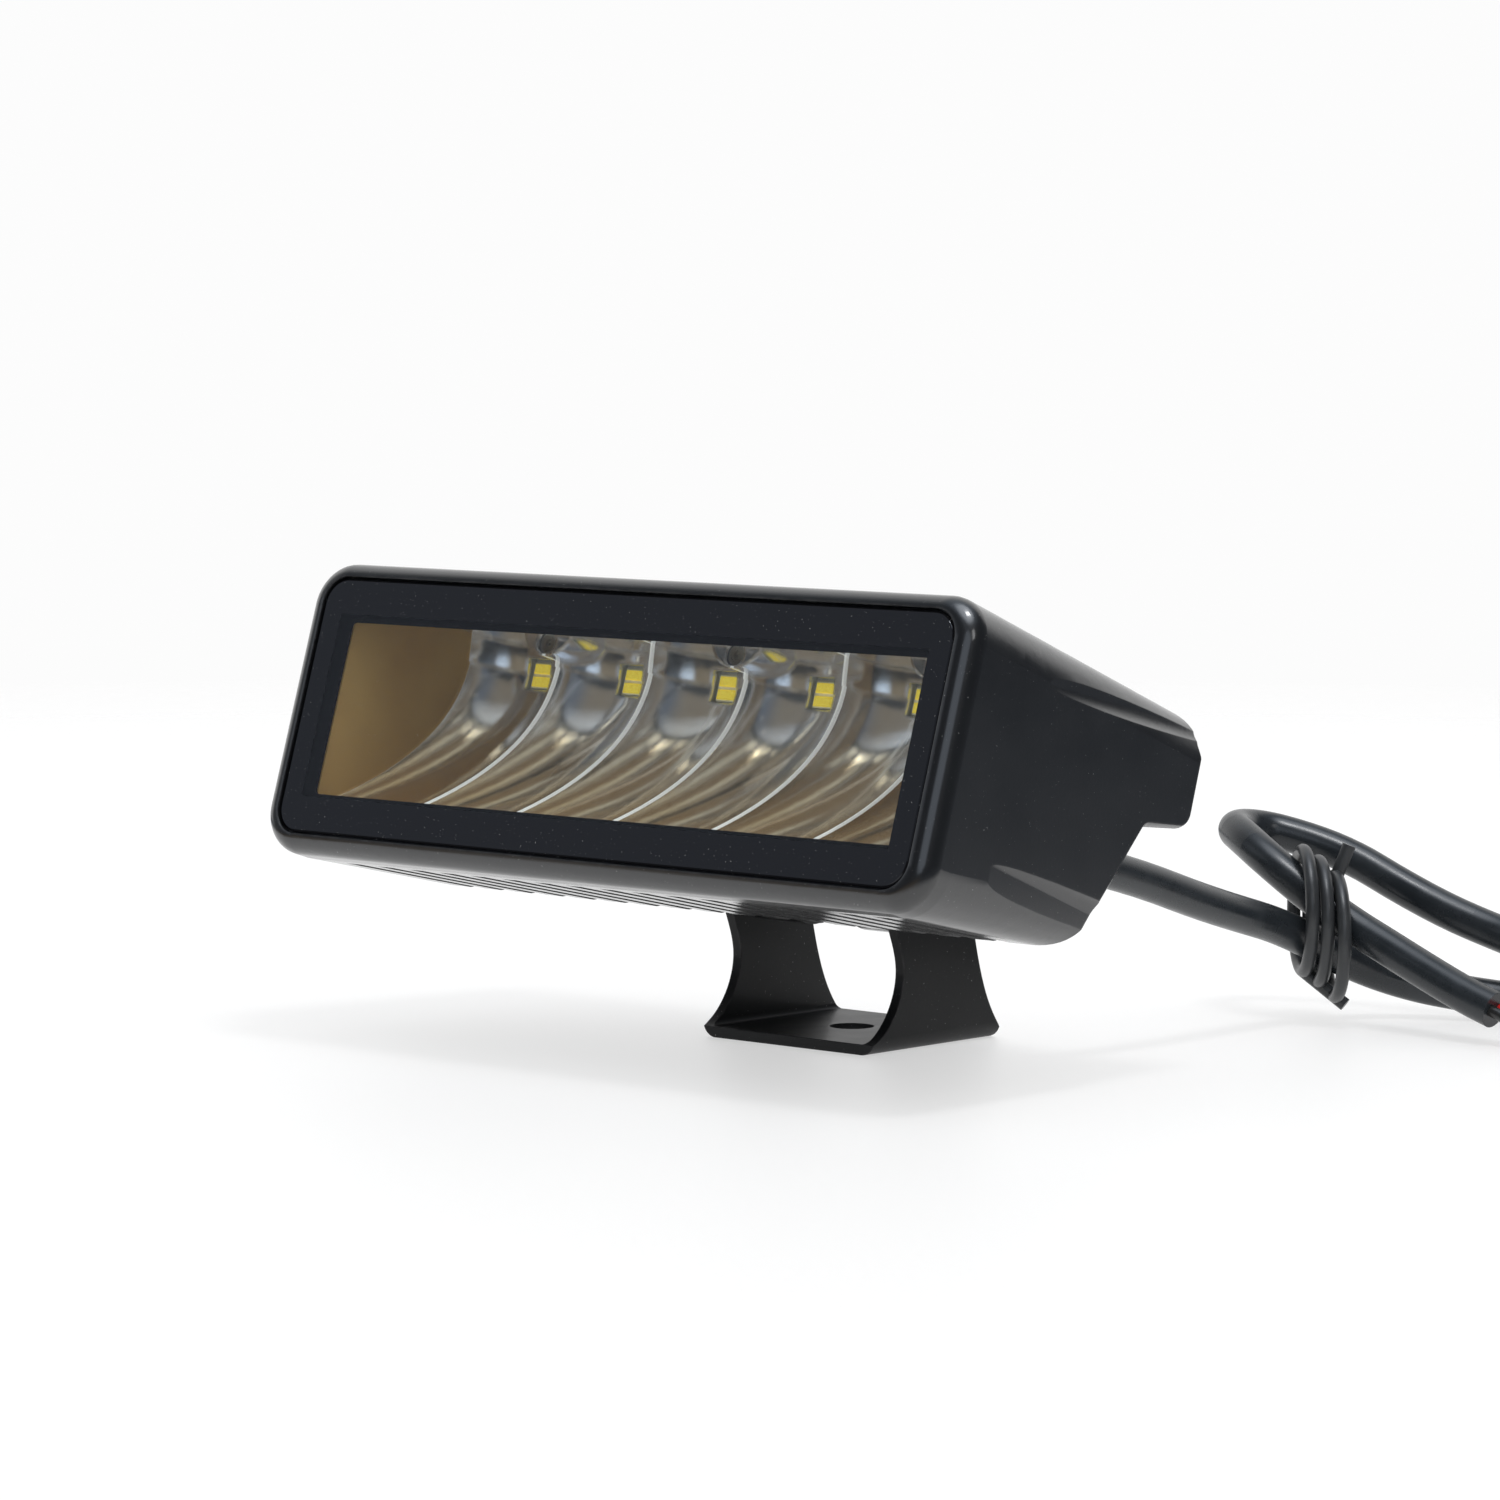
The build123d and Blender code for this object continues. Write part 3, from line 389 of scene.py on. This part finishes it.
# Each soft piece: CAD node, piece, material and the record's material slot.
soft_pieces = [
    ("cable", "cable_jacket", cable_coat, "cable_black"),
    ("wire_red", "core_red", red_coat, "core_red"),
    ("wire_black", "core_black", black_coat, "core_black"),
    ("wire_strands", "core_strands", copper, "copper"),
    ("cable_tie", "twist_tie", tie_coat, "cable_black"),
]
for node, name, material, slot in soft_pieces:
    piece = copied(node, name, material)
    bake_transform(piece)


# ---- Stage ----
TABLE_RADIUS = 0.95
TABLE_SIDES = 64
TABLE_FADE = 0.55
# Reflections show less of the table: it fades out around this point, and sooner for rays
# that come from behind the glass.
MIRRORED_CENTRE = (-0.08, 0.03, 0.0)
OUTER_FADE, OUTER_RADIUS = 0.25, 0.36
INNER_FADE, INNER_RADIUS = 0.15, 0.27
TABLE_GLOW = 0.52


def table_top():
    """The pale studio table, which fades into the backdrop towards its rim."""
    s = Shader("studio_table")
    speckle = s.noise(700.0, 3.0, 0.6)
    base = s.ramp(speckle, [(0.3, rgb(0.37, 0.37, 0.37)), (0.7, rgb(0.42, 0.42, 0.42))])
    surface = s.bsdf(Base_Color=base, Roughness=0.5, Normal=s.bump(speckle, 0.1, 0.0002))
    glow(surface, rgb(1, 1, 1), TABLE_GLOW)
    length = s.node("ShaderNodeVectorMath", operation="LENGTH")
    s.link(s.coords.outputs["Object"], length.inputs[0])
    seen_fade = s.map_range(length.outputs["Value"], TABLE_FADE, TABLE_RADIUS, 0.0, 1.0)
    reach = s.node("ShaderNodeVectorMath", operation="DISTANCE")
    s.link(s.coords.outputs["Object"], reach.inputs[0])
    reach.inputs[1].default_value = MIRRORED_CENTRE
    outer = s.map_range(reach.outputs["Value"], OUTER_FADE, OUTER_RADIUS, 0.0, 1.0)
    inner = s.map_range(reach.outputs["Value"], INNER_FADE, INNER_RADIUS, 0.0, 1.0)
    path = s.node("ShaderNodeLightPath")
    behind_glass = s.maths("GREATER_THAN", path.outputs["Transparent Depth"], 0.5)
    mirrored_fade = s.maths("MAXIMUM", outer, s.maths("MULTIPLY", inner, behind_glass))
    mirrored = s.maths("MULTIPLY", path.outputs["Is Glossy Ray"], mirrored_fade)
    fade = s.maths("MAXIMUM", seen_fade, mirrored)
    return s.done(s.layered(fade, surface, s.node("ShaderNodeBsdfTransparent")))


def table_sheet():
    """The round table the lamp stands on."""
    turns = [2 * pi * k / TABLE_SIDES for k in range(TABLE_SIDES)]
    verts = [(TABLE_RADIUS * cos(turn), TABLE_RADIUS * sin(turn), 0) for turn in turns]
    mesh = bpy.data.meshes.new("studio_table")
    mesh.from_pydata(verts, [], [tuple(range(TABLE_SIDES))])
    mesh.materials.append(table_top())
    sheet = bpy.data.objects.new("studio_table", mesh)
    bpy.context.scene.collection.objects.link(sheet)


def area_light(name, place, target, size, power):
    """A soft rectangular light that faces a target."""
    light = bpy.data.lights.new(name, "AREA")
    light.energy = power
    light.shape = "RECTANGLE"
    light.size, light.size_y = size
    lamp = bpy.data.objects.new(name, light)
    lamp.location = place
    lamp.rotation_euler = (Vector(target) - Vector(place)).to_track_quat("-Z", "Y").to_euler()
    bpy.context.scene.collection.objects.link(lamp)


# The room that glossy parts mirror, seen from outside the glass and from inside it.
# A room is its plain tone, then patches: direction, the cosines of the angles from it
# at which the patch starts and is full, and its colour.
SIDE_WINDOW = ((0.50, -0.75, 0.42), 0.93, 0.97, rgb(0.85, 0.95, 1.1))
CEILING = ((0.0, 0.0, 1.0), 0.70, 0.95, rgb(0.42, 0.50, 0.60))
CEILING_LIGHT = ((0.1, -0.1, 1.0), 0.88, 0.96, rgb(2.6, 2.8, 3.1))
GREY_WALL = ((-0.66, -0.66, 0.36), 0.93, 0.97, rgb(0.42, 0.46, 0.52))
BACKDROP = ((-0.66, 0.74, 0.12), 0.35, 0.70, rgb(0.9, 0.9, 0.9))
WARM_WALL = ((-0.25, -0.93, 0.10), 0.35, 0.80, rgb(0.24, 0.178, 0.11))
OUTER_ROOM = (rgb(0.052, 0.060, 0.074), [SIDE_WINDOW, GREY_WALL, BACKDROP, CEILING, CEILING_LIGHT])
INNER_ROOM = (rgb(0.10, 0.115, 0.14), [WARM_WALL, SIDE_WINDOW, CEILING, CEILING_LIGHT])
DOME_LIGHT = 1.0
BACKDROP_WHITE = rgb(0.975, 0.975, 0.975)


def studio_world():
    """A white backdrop for the camera, an even dome for light, and a dim room in reflections."""
    world = bpy.data.worlds.new("studio")
    bpy.context.scene.world = world
    world.use_nodes = True
    tree = world.node_tree
    tree.nodes.clear()

    def node(kind, **settings):
        made = tree.nodes.new(kind)
        for key, value in settings.items():
            setattr(made, key, value)
        return made

    coords = node("ShaderNodeTexCoord")

    def room_colour(plain, patches):
        """The colour a mirrored ray meets: the plain tone with each patch laid over it."""
        start = node("ShaderNodeRGB")
        start.outputs[0].default_value = plain
        colour = start.outputs[0]
        for direction, begins, full, tint in patches:
            dot = node("ShaderNodeVectorMath", operation="DOT_PRODUCT")
            tree.links.new(coords.outputs["Generated"], dot.inputs[0])
            dot.inputs[1].default_value = Vector(direction).normalized()
            weight = node("ShaderNodeMapRange", interpolation_type="SMOOTHSTEP")
            weight.inputs["From Min"].default_value = begins
            weight.inputs["From Max"].default_value = full
            tree.links.new(dot.outputs["Value"], weight.inputs["Value"])
            blend = node("ShaderNodeMix", data_type="RGBA")
            tree.links.new(weight.outputs["Result"], blend.inputs["Factor"])
            tree.links.new(colour, blend.inputs["A"])
            blend.inputs["B"].default_value = tint
            colour = blend.outputs["Result"]
        return colour

    path = node("ShaderNodeLightPath")
    out = node("ShaderNodeOutputWorld")
    dome, room, seen = [node("ShaderNodeBackground") for _ in range(3)]
    dome.inputs["Strength"].default_value = DOME_LIGHT
    dome.inputs["Color"].default_value = rgb(1, 1, 1)
    behind_glass = node("ShaderNodeMath", operation="GREATER_THAN")
    tree.links.new(path.outputs["Transparent Depth"], behind_glass.inputs[0])
    mirrored = node("ShaderNodeMix", data_type="RGBA")
    tree.links.new(behind_glass.outputs["Value"], mirrored.inputs["Factor"])
    tree.links.new(room_colour(*OUTER_ROOM), mirrored.inputs["A"])
    tree.links.new(room_colour(*INNER_ROOM), mirrored.inputs["B"])
    tree.links.new(mirrored.outputs["Result"], room.inputs["Color"])
    seen.inputs["Color"].default_value = BACKDROP_WHITE
    first, second = node("ShaderNodeMixShader"), node("ShaderNodeMixShader")
    tree.links.new(path.outputs["Is Glossy Ray"], first.inputs["Fac"])
    tree.links.new(dome.outputs[0], first.inputs[1])
    tree.links.new(room.outputs[0], first.inputs[2])
    tree.links.new(path.outputs["Is Camera Ray"], second.inputs["Fac"])
    tree.links.new(first.outputs[0], second.inputs[1])
    tree.links.new(seen.outputs[0], second.inputs[2])
    tree.links.new(second.outputs[0], out.inputs["Surface"])


table_sheet()
studio_world()
area_light("top_softbox", place=(0.25, -0.1, 1.0), target=(0, 0, 0), size=(0.24, 0.14), power=2.2)
area_light("side_softbox", place=(1.2, -0.5, 0.9), target=(0, 0, 0.05), size=(0.3, 0.5), power=1.5)

# ---- Camera ----
CAMERA_PLACE = (0.6891, -0.8084, 0.1435)
CAMERA_AZIMUTH = 41.5
CAMERA_ELEVATION = 4.82
CAMERA_ROLL = -0.19
CAMERA_LENS = 136.8
camera_data = bpy.data.cameras.new("photo_camera")
camera_data.lens = CAMERA_LENS
camera_data.sensor_width = 36.0
camera_data.clip_start = 0.01
camera_data.clip_end = 50.0
camera = bpy.data.objects.new("photo_camera", camera_data)
camera.location = CAMERA_PLACE
camera.rotation_euler = (radians(90 - CAMERA_ELEVATION), radians(CAMERA_ROLL), radians(CAMERA_AZIMUTH))
bpy.context.scene.collection.objects.link(camera)
bpy.context.scene.camera = camera

view = bpy.context.scene.view_settings
view.view_transform = "Standard"
view.look = "None"
